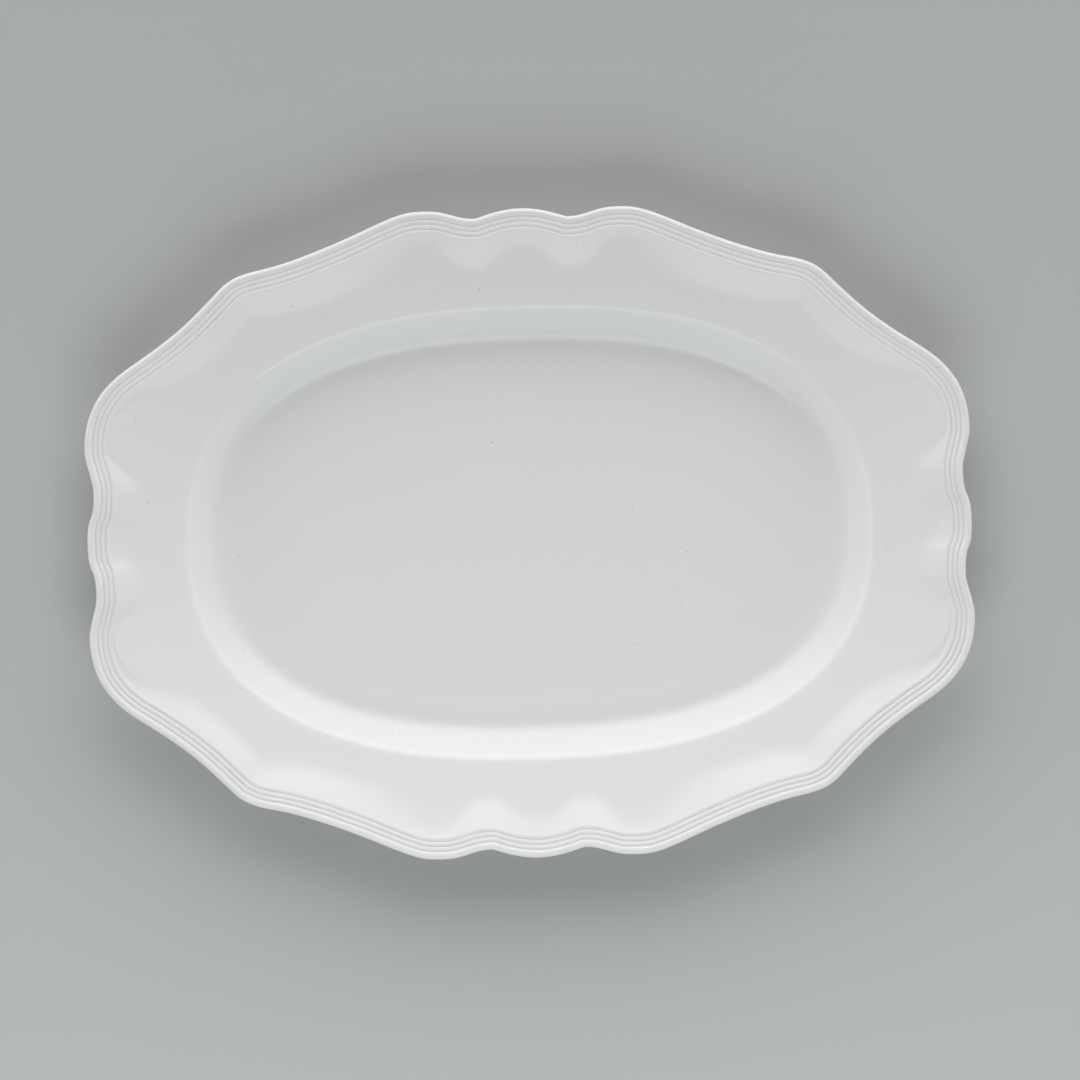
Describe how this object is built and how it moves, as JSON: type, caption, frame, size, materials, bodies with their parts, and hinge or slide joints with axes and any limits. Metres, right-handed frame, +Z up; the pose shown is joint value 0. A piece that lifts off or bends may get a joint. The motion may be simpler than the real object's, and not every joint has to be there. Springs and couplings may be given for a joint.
{
  "type": "china serving platter",
  "caption": "Oval white china serving platter with a recessed well, a sloping rim, and a scalloped, upturned edge with fine reeds and a rolled lip, on an oval foot ring.",
  "frame": {"origin": "centre of the oval foot ring on the plane of its resting face, under the middle of the well", "axes": "+X along the platter's length, +Y across its width, +Z up out of the well"},
  "size_m": [0.36, 0.264, 0.028],
  "materials": {
    "porcelain_body": "fired white porcelain under the glaze",
    "bare_foot": "unglazed, ground matte resting face",
    "clear_glaze": "smooth gloss glaze over white porcelain"
  },
  "bodies": {
    "root": {"platter_body": "porcelain_body", "foot_ring": "bare_foot", "face_glaze": "clear_glaze", "back_glaze": "clear_glaze", "recess_glaze": "clear_glaze"}
  },
  "joints": []
}
